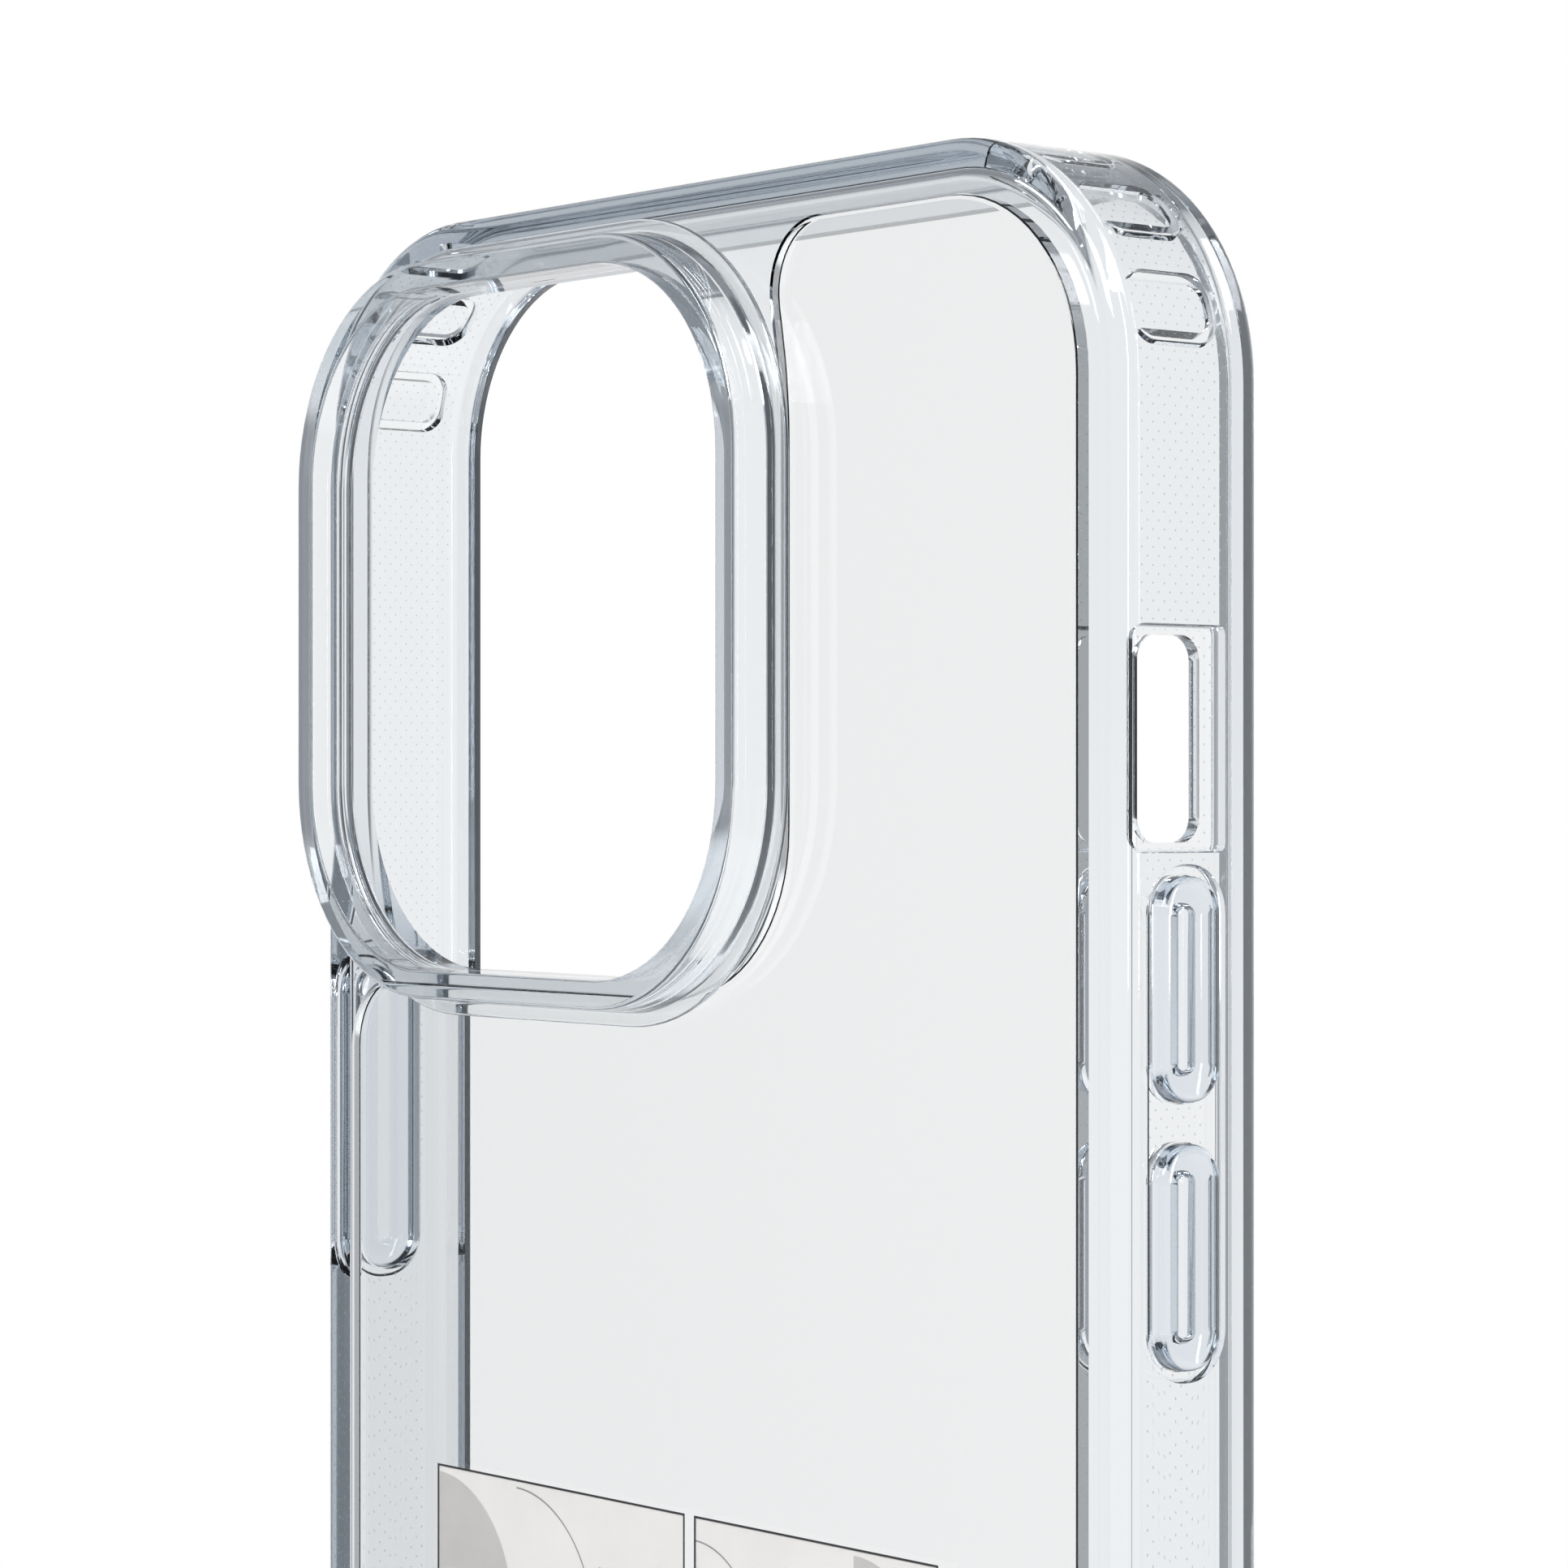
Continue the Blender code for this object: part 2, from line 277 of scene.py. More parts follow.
def clearPlastic(name, look, dots=None):
    # clear moulded plastic: faint flow ripple, fine speckle in the gloss, and a tint that deepens with thickness;
    # dots adds the micro-dots that keep a phone from sticking to the wall
    material, nodes, links, shader = newMaterial(name)
    shader.inputs["Base Color"].default_value = (*look["surface"], 1)
    shader.inputs["Roughness"].default_value = look["roughness"]
    shader.inputs["IOR"].default_value = look["ior"]
    shader.inputs["Transmission Weight"].default_value = 1.0
    place = nodes.new("ShaderNodeTexCoord").outputs["Object"]
    bump = addNode(nodes, "Bump", {"Strength": look["rippleStrength"], "Distance": moulding["rippleDepth"]})
    links.new(noise(nodes, links, place, look["rippleScale"], moulding["rippleDetail"]), bump.inputs["Height"])
    links.new(bump.outputs["Normal"], shader.inputs["Normal"])
    speckle = noise(nodes, links, place, moulding["speckleScale"], moulding["speckleDetail"])
    gloss = remap(nodes, links, speckle, moulding["speckleSpan"],
                  (look["roughness"], look["roughness"] + look["haze"]))
    if dots:
        dot = dotPattern(nodes, links, dots)
        frosted = nodes.new("ShaderNodeMath")
        frosted.operation = "MULTIPLY_ADD"
        frosted.inputs[1].default_value = dots["roughness"]
        links.new(dot, frosted.inputs[0])
        links.new(gloss, frosted.inputs[2])
        gloss = frosted.outputs[0]
        links.new(blendColours(nodes, links, dot, look["surface"], dots["colour"]), shader.inputs["Base Color"])
    links.new(gloss, shader.inputs["Roughness"])
    tint = addNode(nodes, "VolumeAbsorption", {"Color": (*look["tint"], 1), "Density": look["density"]})
    links.new(tint.outputs["Volume"], nodes["Material Output"].inputs["Volume"])
    return material


looks = {
    "hard": {"surface": (0.985, 0.99, 0.99), "roughness": 0.01, "haze": 0.02, "ior": 1.57,
             "rippleScale": 60.0, "rippleStrength": 0.02, "tint": (0.62, 0.68, 0.72), "density": 60.0},
    "soft": {"surface": (0.97, 0.98, 0.985), "roughness": 0.02, "haze": 0.03, "ior": 1.50,
             "rippleScale": 90.0, "rippleStrength": 0.05, "tint": (0.52, 0.58, 0.64), "density": 130.0},
    "guard": {"surface": (0.97, 0.98, 0.985), "roughness": 0.02, "haze": 0.02, "ior": 1.52,
              "rippleScale": 90.0, "rippleStrength": 0.04, "tint": (0.50, 0.57, 0.63), "density": 100.0},
    "button": {"surface": (0.96, 0.975, 0.985), "roughness": 0.03, "haze": 0.03, "ior": 1.50,
               "rippleScale": 120.0, "rippleStrength": 0.05, "tint": (0.46, 0.55, 0.64), "density": 230.0},
}
microDots = {"rowGap": 0.48, "inRow": 0.85, "radius": 0.11, "roughness": 0.5, "colour": (0.55, 0.57, 0.6)}
hardClear = clearPlastic("hard_clear_plastic", looks["hard"])
softClear = clearPlastic("soft_clear_plastic", looks["soft"], microDots)
guardClear = clearPlastic("guard_clear_plastic", looks["guard"])
buttonClear = clearPlastic("button_clear_plastic", looks["button"])


inkLook = {"cloudScale": 220.0, "cloudDetail": 4.0, "cloudSpan": (0.3, 0.7), "roughness": 0.5, "scatter": 0.1 * mm}


def ink(name, colour, mottle=0.03, through=0.0):
    # printed ink with a slight mottle; through lets light into a thin layer of pale ink
    material, nodes, links, shader = newMaterial(name)
    place = nodes.new("ShaderNodeTexCoord").outputs["Object"]
    ramp = nodes.new("ShaderNodeValToRGB")
    for stop, position, change in zip(ramp.color_ramp.elements, inkLook["cloudSpan"], (-mottle, mottle)):
        stop.position = position
        stop.color = (*[min(1, c * (1 + change)) for c in colour], 1)
    links.new(noise(nodes, links, place, inkLook["cloudScale"], inkLook["cloudDetail"]), ramp.inputs["Fac"])
    links.new(ramp.outputs["Color"], shader.inputs["Base Color"])
    shader.inputs["Roughness"].default_value = inkLook["roughness"]
    shader.inputs["Subsurface Weight"].default_value = through
    shader.inputs["Subsurface Radius"].default_value = (1, 1, 1)
    shader.inputs["Subsurface Scale"].default_value = inkLook["scatter"]
    return material


print("materials made")

# the plate's outline, shared by the plate and its seat in the frame
plateShape = {
    "corner": 10.5 * mm, "notchCorner": 10.0 * mm, "upperCorner": 5.0 * mm, "lowerCorner": 4.5 * mm,
    "bend": 30.0 * mm, "lean": 1.7 * mm, "bendBelowTop": 13.0 * mm,
    "steps": 16, "upperSteps": 12, "lowerSteps": 10, "bendSteps": 6,
    "rightOfOpening": 2.0 * mm, "belowOpening": 0.9 * mm,
}
opening = {
    "low": Vector((-34.1 * mm, 0, topZ - 47.6 * mm)), "high": Vector((7.45 * mm, 0, topZ - 4.7 * mm)),
    "corner": 11.8 * mm, "steps": 20,
}
notchRight = opening["high"].x + plateShape["rightOfOpening"]
notchBottom = opening["low"].z - plateShape["belowOpening"]


def plateBlock(name, grow, lowY, highY):
    # the plate's outline grown all round, with its notch under the camera guard
    shape = plateShape
    low = Vector((plateLow.x - grow, lowY, plateLow.z - grow))
    high = Vector((plateHigh.x + grow, highY, plateHigh.z + grow))
    piece = block(name, low, high)
    roundUprights(piece, "Y", shape["corner"] + grow, shape["steps"],
                  lambda at: not (at.x < 0 and at.z > topZ / 2))
    right, bottom = notchRight - grow, notchBottom + grow
    bendZ = topZ - shape["bendBelowTop"]
    far = 20 * mm
    notch = block(name + "_notch", (low.x - far, lowY - far, bottom), (right, highY + far, high.z + far))
    work(notch)
    bpy.ops.object.mode_set(mode="EDIT")
    bpy.ops.mesh.select_all(action="SELECT")
    bpy.ops.mesh.bisect(plane_co=(0, 0, bendZ), plane_no=(0, 0, 1))
    bpy.ops.object.mode_set(mode="OBJECT")
    pickEdges(notch, lambda a, b: min(a.x, b.x) > right - touch and min(a.z, b.z) > high.z)
    bpy.ops.transform.translate(value=(-shape["lean"] * (high.z + far - bendZ) / (high.z - bendZ), 0, 0))
    bpy.ops.object.mode_set(mode="OBJECT")
    roundUprights(notch, "Y", shape["notchCorner"] - grow, shape["steps"],
                  lambda at: at.x > right - touch and at.z < bottom + touch)
    turn = math.atan2(shape["lean"], high.z - bendZ)
    roundUprights(notch, "Y", shape["bend"] * math.tan(turn / 2), shape["bendSteps"],
                  lambda at: at.x > right - touch and abs(at.z - bendZ) < touch)
    boolean(piece, notch)
    roundUprights(piece, "Y", shape["upperCorner"] + grow, shape["upperSteps"],
                  lambda at: at.z > high.z - touch and at.x < right)
    roundUprights(piece, "Y", shape["lowerCorner"] + grow, shape["lowerSteps"],
                  lambda at: at.x < low.x + touch and at.z > bottom - touch)
    return piece


def openingBlock(name, grow, lowY, highY):
    # the camera opening's outline grown all round
    shape = opening
    return roundedBlock(name, (shape["low"].x - grow, lowY, shape["low"].z - grow),
                        (shape["high"].x + grow, highY, shape["high"].z + grow),
                        "Y", shape["corner"] + grow, shape["steps"])


plateLook = {"air": 0.04 * mm, "rim": 0.32 * mm, "rimSteps": 4, "innerRim": 0.15 * mm, "innerSteps": 2}
backPlate = plateBlock("back_plate_clear", 0, backY, seatY)
roundRim(backPlate, (0, -1, 0), plateLook["rim"], plateLook["rimSteps"])
roundRim(backPlate, (0, 1, 0), plateLook["innerRim"], plateLook["innerSteps"])
smooth(backPlate)
dress(backPlate, hardClear)
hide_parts("back_plate")
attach(backPlate, "case")
print("back plate made")


wall = {
    "corner": 14.0 * mm, "steps": 24, "edge": 0.9 * mm, "edgeSteps": 6, "thick": 1.55 * mm,
    "floorFillet": 0.85 * mm, "filletSteps": 5, "lipThick": 1.35 * mm, "lipReach": 2.6 * mm,
    "lipChamfer": 0.3 * mm, "underLip": 0.35 * mm, "underSteps": 3,
    "lipFlare": [(-0.12 * mm, 0.18 * mm), (-0.2 * mm, 0.12 * mm), (0, 1.0 * mm)],
    "below": 1.0 * mm, "above": 0.5 * mm,         # how far the rear border's cutters run past its two faces
    "soften": 0.12 * mm, "softenSteps": 2,
}
button = {
    "midY": backY + 5.1 * mm, "wide": 4.5 * mm, "round": 0.47, "gap": 0.07 * mm, "holeDeep": 2.6 * mm,
    "recessGrow": 0.65 * mm, "recessDeep": 0.5 * mm, "recessFillet": 0.3 * mm, "filletSteps": 4, "steps": 12,
    "outside": 2 * mm,                            # how far the cutters stand out of the wall
}
volumeUpLow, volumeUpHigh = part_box("volume_up_button")
volumeDownLow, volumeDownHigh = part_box("volume_down_button")
sideLow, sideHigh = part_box("side_button")
mute = {
    "midY": backY + 4.4 * mm, "midZ": topZ - 33.4 * mm, "long": 11.2 * mm, "wide": 4.7 * mm,
    "corner": 1.4 * mm, "steps": 8, "inwards": 3.0 * mm, "outwards": 1.0 * mm,
    "scoopLong": 12.3 * mm, "scoopLowY": backY + 0.9 * mm, "scoopHighY": backY + 8.0 * mm, "scoopDeep": 0.75 * mm,
    "nearCorner": 1.0 * mm, "nearSteps": 5, "farCorner": 0.5 * mm, "farSteps": 3, "fillet": 0.35 * mm,
    "filletSteps": 4,
}
base = {
    "portWide": 13.0 * mm, "portTall": 6.0 * mm, "slotWide": 13.5 * mm, "slotTall": 3.0 * mm,
    "slotX": 20.5 * mm, "midY": seatY + 3.95 * mm, "low": -1 * mm, "high": 3 * mm, "steps": 10,
}
pocket = {
    "long": 6.4 * mm, "wide": 4.0 * mm, "deep": 0.55 * mm, "round": 1.6 * mm, "midY": backY + 5.1 * mm,
    "angle": math.radians(28), "rib": 0.62 * mm, "steps": 8, "fillet": 0.16 * mm, "filletSteps": 3,
}


def wallBlock(name, inset, lowY, highY, rims=()):
    # the case outline moved inwards
    return roundedBlock(name, (-sideX + inset, lowY, inset), (sideX - inset, highY, topZ - inset),
                        "Y", wall["corner"] - inset, wall["steps"], rims)


def pillBlock(name, sign, outerX, innerX, midY, lowZ, highZ, wide, rims=()):
    # an upright pill through or into a side wall
    low = (min(sign * innerX, sign * outerX), midY - wide / 2, lowZ)
    high = (max(sign * innerX, sign * outerX), midY + wide / 2, highZ)
    return roundedBlock(name, low, high, "X", wide * button["round"], button["steps"], rims)


bumper = wallBlock("bumper_frame_clear", 0, backY, frontY,
                   [((0, -1, 0), wall["edge"], wall["edgeSteps"]), ((0, 1, 0), wall["edge"], wall["edgeSteps"])])
lipY = frontY - wall["lipThick"]
boolean(bumper, wallBlock("cavity", wall["thick"], seatY, lipY,
                          [((0, -1, 0), wall["floorFillet"], wall["filletSteps"]),
                           ((0, 1, 0), wall["underLip"], wall["underSteps"])]))
lipCutter = wallBlock("lip", wall["lipReach"], lipY - wall["below"], frontY - wall["lipChamfer"])
stepUp(lipCutter, (0, 1, 0), wall["lipFlare"])
boolean(bumper, lipCutter)
belowBorder, aboveBorder = backY - wall["below"], seatY + wall["above"]
boolean(bumper, plateBlock("plate_seat", plateLook["air"], belowBorder, aboveBorder))
boolean(bumper, openingBlock("camera_hole", 0, belowBorder, aboveBorder))
print("bumper frame opened out")

# recesses and holes for the button covers
grow, outside = button["recessGrow"], sideX + button["outside"]
for sign, recessLow, recessHigh in ((1, volumeDownLow.z, volumeUpHigh.z), (-1, sideLow.z, sideHigh.z)):
    boolean(bumper, pillBlock("recess", sign, outside, sideX - button["recessDeep"], button["midY"],
                              recessLow - grow, recessHigh + grow, button["wide"] + 2 * grow,
                              [((-sign, 0, 0), button["recessFillet"], button["filletSteps"])]))
for sign, low, high in ((1, volumeUpLow, volumeUpHigh), (1, volumeDownLow, volumeDownHigh), (-1, sideLow, sideHigh)):
    boolean(bumper, pillBlock("cover_hole", sign, outside, sideX - button["holeDeep"], button["midY"],
                              low.z - button["gap"], high.z + button["gap"], button["wide"] + 2 * button["gap"]))
print("recesses and holes for the button covers cut")

# mute-switch cut-out in its scoop
scoop = block("scoop", (sideX - mute["scoopDeep"], mute["scoopLowY"], mute["midZ"] - mute["scoopLong"] / 2),
              (outside, mute["scoopHighY"], mute["midZ"] + mute["scoopLong"] / 2))
roundUprights(scoop, "X", mute["nearCorner"], mute["nearSteps"], lambda at: at.y < mute["midY"])
roundUprights(scoop, "X", mute["farCorner"], mute["farSteps"], lambda at: at.y > mute["scoopHighY"] - touch)
roundRim(scoop, (-1, 0, 0), mute["fillet"], mute["filletSteps"])
boolean(bumper, scoop)
muteLow = (sideX - mute["inwards"], mute["midY"] - mute["wide"] / 2, mute["midZ"] - mute["long"] / 2)
muteHigh = (sideX + mute["outwards"], mute["midY"] + mute["wide"] / 2, mute["midZ"] + mute["long"] / 2)
boolean(bumper, roundedBlock("mute_hole", muteLow, muteHigh, "X", mute["corner"], mute["steps"]))

# port and speaker slots in the bottom wall
for x, wide, tall in ((0, base["portWide"], base["portTall"]), (-base["slotX"], base["slotWide"], base["slotTall"]),
                      (base["slotX"], base["slotWide"], base["slotTall"])):
    boolean(bumper, roundedBlock("base_hole", (x - wide / 2, base["midY"] - tall / 2, base["low"]),
                                 (x + wide / 2, base["midY"] + tall / 2, base["high"]),
                                 "Z", tall * button["round"], base["steps"]))
print("mute-switch, port and speaker holes cut")


def grooveCutter():
    # a U round an island, lying along Y and open towards the plate
    deep, long, wide, rib = pocket["deep"], pocket["long"], pocket["wide"], pocket["rib"]
    cutter = roundedBlock("corner_groove", (-2 * deep, -long / 2, -wide / 2), (deep, long / 2, wide / 2),
                          "X", pocket["round"], pocket["steps"],
                          [((1, 0, 0), pocket["fillet"], pocket["filletSteps"])])
    boolean(cutter, roundedBlock("corner_island", (-4 * deep, -long, rib - wide / 2),
                                 (4 * deep, long / 2 - rib, wide / 2 - rib),
                                 "X", pocket["round"] - rib, pocket["steps"]))
    return cutter


# shallow grooves inside the corners: one on each diagonal and one on each side of it
innerRadius = wall["corner"] - wall["thick"]
for corner in range(4):
    diagonal = math.radians(45 + 90 * corner)
    centre = Vector((math.copysign(sideX - wall["corner"], math.cos(diagonal)), pocket["midY"],
                     topZ / 2 + math.copysign(topZ / 2 - wall["corner"], math.sin(diagonal))))
    for turn in (diagonal - pocket["angle"], diagonal, diagonal + pocket["angle"]):
        cutter = grooveCutter()
        cutter.rotation_euler = (0, -turn, 0)
        cutter.location = centre + Vector((math.cos(turn), 0, math.sin(turn))) * innerRadius
        work(cutter)
        bpy.ops.object.transform_apply(location=True, rotation=True, scale=True)
        boolean(bumper, cutter)
mergeDoubles(bumper)
softenEdges(bumper, wall["soften"], wall["softenSteps"])
smooth(bumper)
dress(bumper, softClear)


def pastCorner(x, z):
    # how far a point lies past the centre of its nearest corner, across and up
    middle = topZ / 2
    return abs(x) - (sideX - wall["corner"]), abs(z - middle) - (middle - wall["corner"])


def outlineDepth(x, z):
    # how far a point lies inside the case's outer outline, seen from the back
    across, up = pastCorner(x, z)
    if across > 0 and up > 0:
        return wall["corner"] - math.hypot(across, up)
    return wall["corner"] - max(across, up)


def wallRun(x, z):
    # length along the inner wall from the middle of a side, in mm
    across, up = pastCorner(x, z)
    if across > 0 and up <= 0:
        return abs(z - topZ / 2) / mm
    turned = innerRadius * math.atan2(up, across) if across > 0 else innerRadius * math.pi / 2 - across
    return (topZ / 2 - wall["corner"] + turned) / mm


# the dots follow a UV map along the inner walls; everywhere else it rests on one place between dots
innerWall = {"upright": 0.05, "spread": 0.03 * mm}
runMap = bumper.data.uv_layers.new(name="wallRun")
points = bumper.data.vertices
dottedFaces = 0
for face in bumper.data.polygons:
    corners = [points[index].co for index in face.vertices]
    inside = abs(face.normal.y) < innerWall["upright"] and all(
        abs(outlineDepth(at.x, at.z) - wall["thick"]) < innerWall["spread"] for at in corners)
    dottedFaces += inside
    for loop in face.loop_indices:
        at = points[bumper.data.loops[loop].vertex_index].co
        runMap.data[loop].uv = (wallRun(at.x, at.z), at.y / mm) if inside else (microDots["rowGap"], 0)
print("inner wall faces with micro-dots:", dottedFaces)
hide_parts("bumper_frame")
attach(bumper, "case")
print("bumper frame made:", len(bumper.data.polygons), "faces")


guardShape = {
    "foot": 2.9 * mm, "footSide": 0.2 * mm, "lift": 0.03 * mm, "wallIn": 0.2 * mm, "past": 2 * mm,
    "footSteps": [(0.06 * mm, 0.1 * mm), (0.12 * mm, 0.05 * mm), (0.5 * mm, 0.03 * mm), (0.15 * mm, 0.08 * mm),
                  (0.08 * mm, 0.2 * mm)],
    "rimSteps": [(0.05 * mm, 0.16 * mm), (0.1 * mm, 0.1 * mm), (0.16 * mm, 0.06 * mm)],
    "soften": 0.16 * mm, "softenSteps": 3, "softenAngle": 50,
}
guardFoot = backY - guardShape["lift"]
guard = openingBlock("camera_guard_clear", guardShape["foot"], guardFoot - guardShape["footSide"], guardFoot)
risen = sum(rise for inward, rise in guardShape["footSteps"] + guardShape["rimSteps"])
wallRise = guardFoot - guardLow.y - guardShape["footSide"] - risen
stepUp(guard, (0, -1, 0), guardShape["footSteps"] + [(guardShape["wallIn"], wallRise)] + guardShape["rimSteps"])
boolean(guard, openingBlock("guard_hole", 0, guardLow.y - guardShape["past"], backY + guardShape["past"]))
softenEdges(guard, guardShape["soften"], guardShape["softenSteps"], guardShape["softenAngle"])
smooth(guard)
dress(guard, guardClear)
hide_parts("camera_guard")
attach(guard, "case")
print("camera guard made:", len(guard.data.polygons), "faces")


cover = {
    "dome": [(0.0, 0.12 * mm), (0.05 * mm, 0.16 * mm), (0.12 * mm, 0.13 * mm), (0.2 * mm, 0.1 * mm),
             (0.35 * mm, 0.05 * mm), (0.45 * mm, 0.02 * mm)],
    "innerRim": 0.2 * mm, "innerSteps": 2, "wellWide": 1.6 * mm,
    "well": [(0.08 * mm, -0.1 * mm), (0.05 * mm, -0.45 * mm), (0.1 * mm, -0.15 * mm), (0.2 * mm, -0.1 * mm)],
    "smoothAngle": 50,
}


def makeCover(name, node, body, sign):
    # sign is 1 on the right wall and -1 on the left one
    low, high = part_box(node)
    outerX, innerX = max(abs(low.x), abs(high.x)), min(abs(low.x), abs(high.x))
    rise = sum(step for inward, step in cover["dome"])
    piece = pillBlock(name, sign, outerX - rise, innerX, button["midY"], low.z, high.z, button["wide"],
                      [((-sign, 0, 0), cover["innerRim"], cover["innerSteps"])])
    stepUp(piece, (sign, 0, 0), cover["dome"])
    wellSide = (button["wide"] - cover["wellWide"]) / 2 - cover["innerRim"]
    stepUp(piece, (-sign, 0, 0), [(wellSide, 0)] + cover["well"])
    smooth(piece, cover["smoothAngle"])
    dress(piece, buttonClear)
    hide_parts(node)
    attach(piece, body)


makeCover("volume_up_cover", "volume_up_button", "volume_up", 1)
makeCover("volume_down_cover", "volume_down_button", "volume_down", 1)
makeCover("side_cover", "side_button", "side", -1)
print("button covers made")


panel = {
    "thick": 0.02 * mm, "lift": 0.012 * mm, "layerGap": 0.002 * mm, "cutDeep": 2 * mm, "steps": 96,
    "frameLine": 0.13 * mm, "fineLine": 0.09 * mm, "frameLayer": 3, "tilesAcross": 3, "leastTile": 0.2,
    "pale": (0.775, 0.75, 0.72), "shade": (0.53, 0.515, 0.50), "grey": (0.27, 0.27, 0.28),
    "dark": (0.03, 0.03, 0.034),
}
# what fills each tile in turn: shape, ink, its share of the tile, line width in mm (0 takes the fine line)
leftTiles = [("quarter", "shade", 0.94, 0), ("quarterArc", "grey", 0.94, 0), ("quarter", "dark", 0.48, 0),
             ("quarterArc", "shade", 0.80, 0.5)]
rightTiles = [("quarterArc", "grey", 0.80, 0), ("quarter", "dark", 0.56, 0), ("quarter", "shade", 0.94, 0)]
inks = {
    "pale": ink("pale_ink", panel["pale"], 0.03, 0.35), "shade": ink("shade_ink", panel["shade"], 0.05, 0.3),
    "grey": ink("grey_ink", panel["grey"], 0.12), "dark": ink("dark_ink", panel["dark"], 0.3),
}


def layerFront(layer):
    return backY - panel["lift"] - layer * (panel["thick"] + panel["layerGap"])


def printBlock(x, z, wide, tall, layer=0):
    # a flat bar of ink whose top left corner is at x, z
    front = layerFront(layer)
    return block("print_shape", (x, front - panel["thick"], z - tall), (x + wide, front, z))


def cutBlock(x, z, wide, tall):
    # the same bar, deep enough to cut through the ink
    deep = panel["cutDeep"] / 2
    return block("print_cut", (x, backY - deep, z - tall), (x + wide, backY + deep, z))


def disc(x, z, radius, y, deep):
    deselectAll()
    bpy.ops.mesh.primitive_cylinder_add(vertices=panel["steps"], radius=radius, depth=deep,
                                        location=(x, y, z), rotation=(math.radians(90), 0, 0))
    bpy.ops.object.transform_apply(location=True, rotation=True, scale=True)
    return bpy.context.object


def printShape(kind, layer, numbers, low, high):
    # one inked shape, cut off at its panel's edges; numbers are mm from the panel's top left corner
    x, z, size = low.x + numbers[0] * mm, high.z - numbers[1] * mm, numbers[2] * mm
    if kind == "bar":
        shape = printBlock(x, z, size, numbers[3] * mm, layer)
    else:
        shape = disc(x, z, size, layerFront(layer) - panel["thick"] / 2, panel["thick"])
        if kind == "quarterArc":
            boolean(shape, disc(x, z, size - (numbers[3] * mm or panel["fineLine"]), backY, panel["cutDeep"]))
        boolean(shape, cutBlock(x, z + 2 * size, 2 * size, 2 * size), "INTERSECT")
    edge = panel["frameLine"] / 2
    window = cutBlock(low.x + edge, high.z - edge, high.x - low.x - 2 * edge, high.z - low.z - 2 * edge)
    boolean(shape, window, "INTERSECT")
    return shape


def tileArt(tiles, wide, tall):
    # a pale ground with a plain grid of quarter rounds: shape, layer, ink, then its numbers in mm
    size = wide / panel["tilesAcross"]
    art = [("bar", 0, "pale", 0, 0, wide, tall)]
    for row in range(math.ceil(tall / size - panel["leastTile"])):
        for column in range(panel["tilesAcross"]):
            kind, inkName, share, stroke = tiles[(2 * row + column) % len(tiles)]
            art.append((kind, 1, inkName, column * size, (row + 1) * size, share * size, stroke))
    return art


def makePrint(name, node, tiles):
    low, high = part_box(node)
    wide, tall = high.x - low.x, high.z - low.z
    shapes = []
    for kind, layer, inkName, *numbers in tileArt(tiles, wide / mm, tall / mm):
        shape = printShape(kind, layer, numbers, low, high)
        dress(shape, inks[inkName])
        shapes.append(shape)
    line = panel["frameLine"]
    outline = printBlock(low.x, high.z, wide, tall, panel["frameLayer"])
    boolean(outline, cutBlock(low.x + line, high.z - line, wide - 2 * line, tall - 2 * line))
    dress(outline, inks["dark"])
    piece = join([outline] + shapes, name)
    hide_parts(node)
    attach(piece, "case")
    print(name, "made:", len(piece.data.polygons), "faces")


makePrint("print_left_art", "print_panel_left", leftTiles)
makePrint("print_right_art", "print_panel_right", rightTiles)


studio = {
    "floorRadius": 0.36, "floorSteps": 96, "floorDrop": 0.1 * mm, "floorColour": (0.90, 0.903, 0.908),
    "floorRoughness": 0.7, "floorFade": (0.16, 0.34),
    "bright": (1.0, 1.0, 1.0), "darkRight": (0.42, 0.43, 0.445), "darkLeft": (0.08, 0.09, 0.10),
    "above": (0.34, 0.355, 0.375), "front": (0.40, 0.415, 0.43),
    "rightTurn": 135, "leftTurn": 315, "darkSpan": (0.82, 0.93), "aboveSpan": (0.24, 0.65),
    "frontTurn": 45, "frontSpan": (0.10, 0.55), "frontHeight": (-0.07, 0.05),
}


# a small round floor that fades into the white air, so that no horizon shows
deselectAll()
bpy.ops.mesh.primitive_circle_add(vertices=studio["floorSteps"], radius=studio["floorRadius"], fill_type="NGON",
                                  location=(0, 0, -studio["floorDrop"]))
floor = bpy.context.object
floor.name = "floor"
bpy.ops.object.transform_apply(location=True, rotation=True, scale=True)
floorPaint, nodes, links, shader = newMaterial("pale_floor")
shader.inputs["Base Color"].default_value = (*studio["floorColour"], 1)
shader.inputs["Roughness"].default_value = studio["floorRoughness"]
place = nodes.new("ShaderNodeTexCoord")
reach = nodes.new("ShaderNodeVectorMath")
reach.operation = "LENGTH"
links.new(place.outputs["Object"], reach.inputs[0])
fade = remap(nodes, links, reach.outputs["Value"], studio["floorFade"], kind="SMOOTHSTEP")
air = nodes.new("ShaderNodeBsdfTransparent")
blend = nodes.new("ShaderNodeMixShader")
links.new(fade, blend.inputs[0])
links.new(shader.outputs[0], blend.inputs[1])
links.new(air.outputs[0], blend.inputs[2])
links.new(blend.outputs[0], nodes["Material Output"].inputs["Surface"])
dress(floor, floorPaint)

# white air with a dark zone on each side, which draws the edges of clear plastic
world = bpy.data.worlds.new("studio_air")
bpy.context.scene.world = world
world.use_nodes = True
nodes, links = world.node_tree.nodes, world.node_tree.links
direction = nodes.new("ShaderNodeTexCoord").outputs["Generated"]


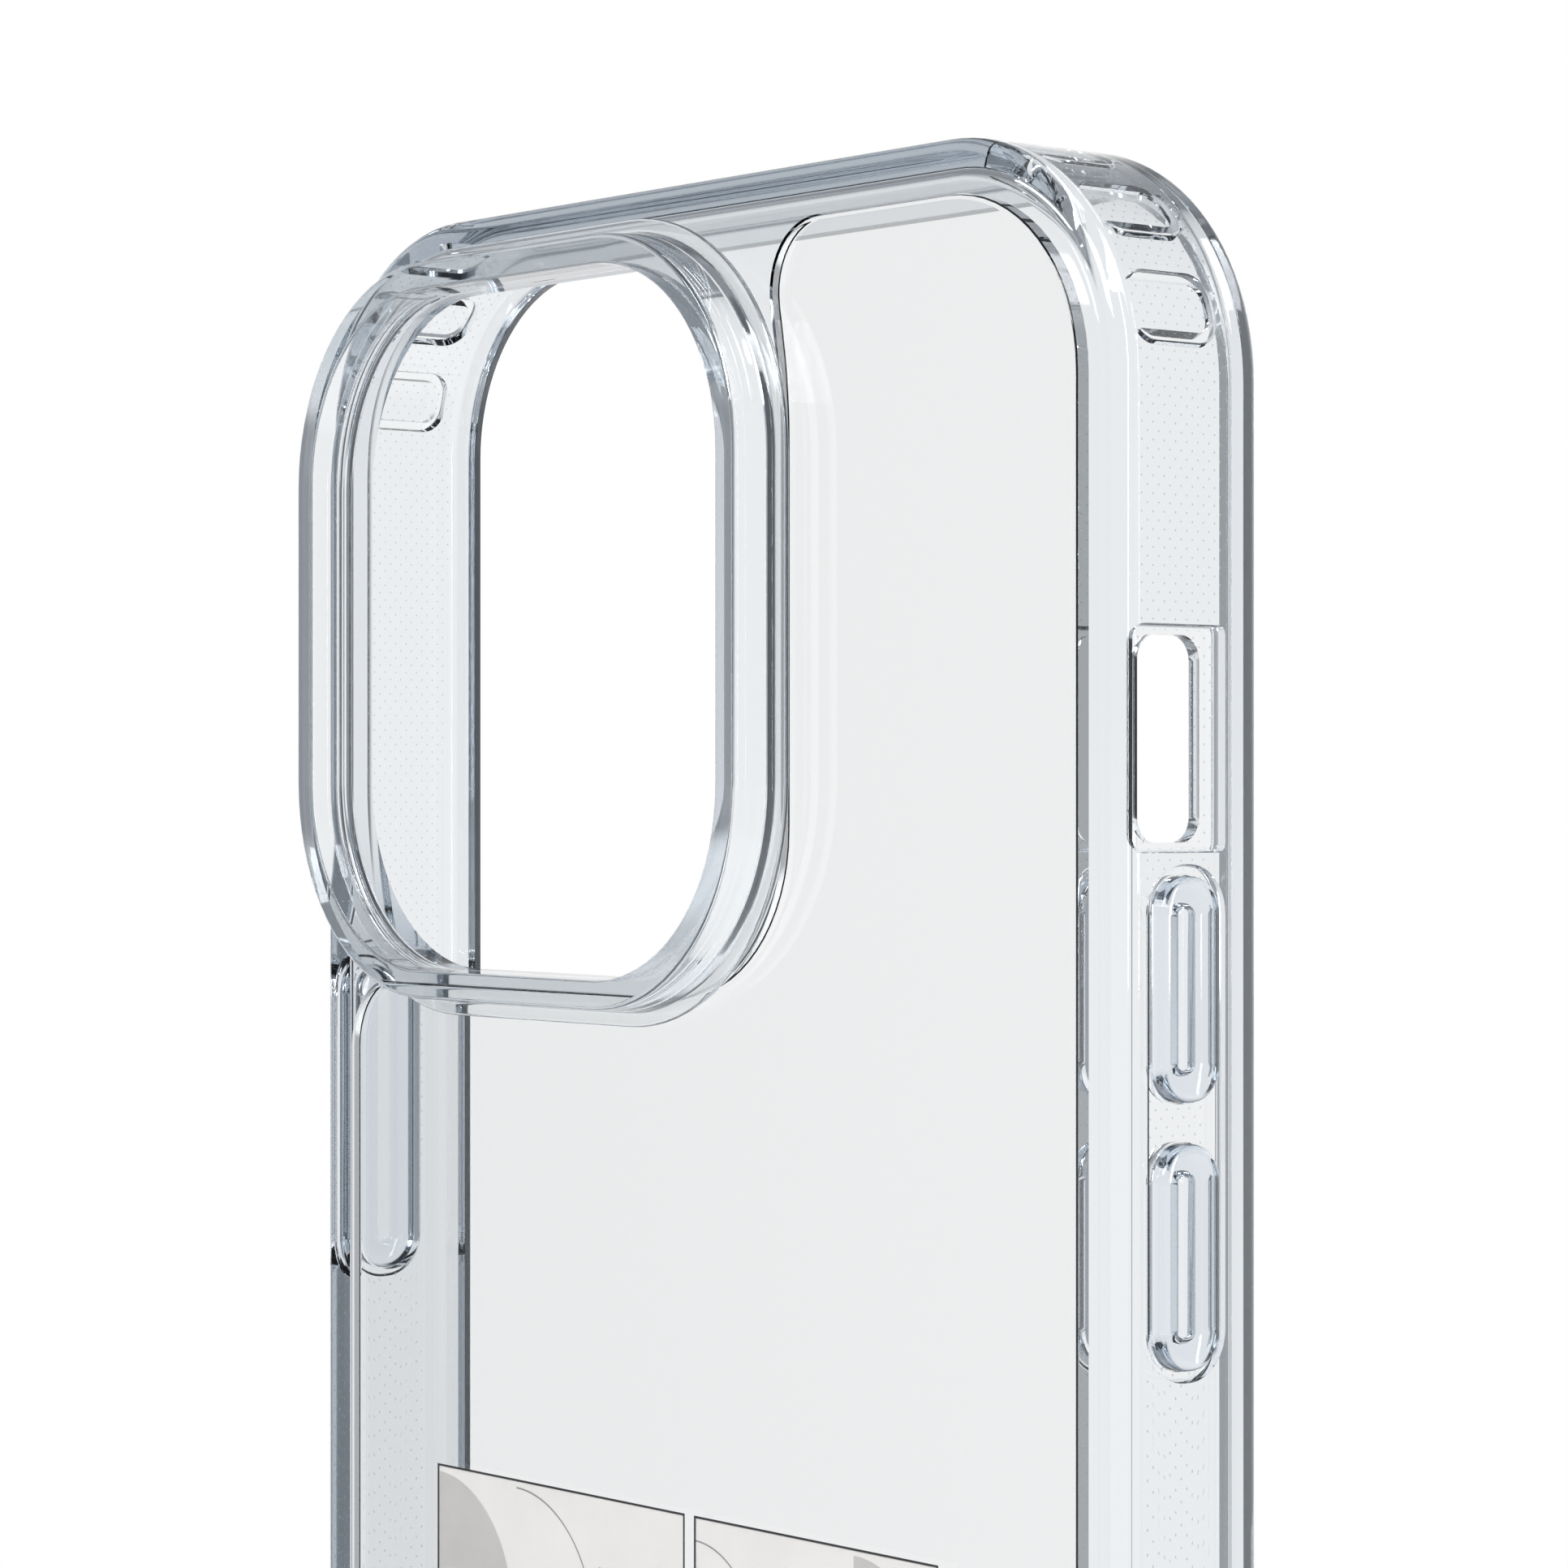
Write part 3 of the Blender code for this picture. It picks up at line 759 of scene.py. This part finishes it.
def aroundObject(azimuth, distance, height):
    # a place round the case: 0 is straight behind its back, 90 is its right side
    turn = math.radians(azimuth)
    return Vector((math.sin(turn) * distance, -math.cos(turn) * distance, height))


def towards(azimuth, span):
    # 1 where the air's direction leans well towards one side of the set, and 0 away from it
    node = nodes.new("ShaderNodeVectorMath")
    node.operation = "DOT_PRODUCT"
    node.inputs[1].default_value = aroundObject(azimuth, 1, 0)
    links.new(direction, node.inputs[0])
    return remap(nodes, links, node.outputs["Value"], span, kind="SMOOTHSTEP")


height = nodes.new("ShaderNodeSeparateXYZ")
links.new(direction, height.inputs[0])
aboveDim = remap(nodes, links, height.outputs["Z"], studio["aboveSpan"], kind="SMOOTHSTEP")
frontHigh = remap(nodes, links, height.outputs["Z"], studio["frontHeight"], kind="SMOOTHSTEP")
frontDim = nodes.new("ShaderNodeMath")
frontDim.operation = "MULTIPLY"
links.new(towards(studio["frontTurn"], studio["frontSpan"]), frontDim.inputs[0])
links.new(frontHigh, frontDim.inputs[1])
air = studio["bright"]
for amount, colour in ((frontDim.outputs[0], studio["front"]), (aboveDim, studio["above"]),
                       (towards(studio["rightTurn"], studio["darkSpan"]), studio["darkRight"]),
                       (towards(studio["leftTurn"], studio["darkSpan"]), studio["darkLeft"])):
    air = blendColours(nodes, links, amount, air, colour)
links.new(air, nodes["Background"].inputs["Color"])
nodes["Background"].inputs["Strength"].default_value = 1.0


def softbox(name, place, aim, size, power):
    light = bpy.data.lights.new(name, "AREA")
    light.shape = "RECTANGLE"
    light.size, light.size_y = size
    light.energy = power
    lamp = bpy.data.objects.new(name, light)
    bpy.context.scene.collection.objects.link(lamp)
    lamp.location = place
    lamp.rotation_euler = (Vector(aim) - Vector(place)).to_track_quat("-Z", "Y").to_euler()


# name, place, what it points at, size in metres, power in watts
softbox("key_light", aroundObject(20, 0.9, 0.75), (0, 0, 0.08), (0.5, 0.5), 8)
softbox("rim_light", aroundObject(105, 0.8, 0.35), (0, 0, 0.09), (0.12, 0.6), 3)
softbox("top_light", (0.0, 0.1, 1.1), (0, 0, 0.1), (0.6, 0.4), 4)
print("studio made")


view = {"place": (202.8 * mm, -165.7 * mm, 115.06 * mm), "turn": 50, "lens": 100.0, "sensor": 36.0,
        "near": 0.01, "far": 50.0}
lens = bpy.data.cameras.new("camera")
lens.lens = view["lens"]
lens.sensor_width = view["sensor"]
lens.clip_start = view["near"]
lens.clip_end = view["far"]
camera = bpy.data.objects.new("camera", lens)
bpy.context.scene.collection.objects.link(camera)
camera.location = view["place"]
camera.rotation_euler = (math.radians(90), 0, math.radians(view["turn"]))
bpy.context.scene.camera = camera

scene = bpy.context.scene
scene.view_settings.view_transform = "Standard"
scene.cycles.max_bounces = 24
scene.cycles.transmission_bounces = 24
scene.cycles.glossy_bounces = 8
scene.cycles.diffuse_bounces = 3
scene.cycles.transparent_max_bounces = 16
print("camera set")
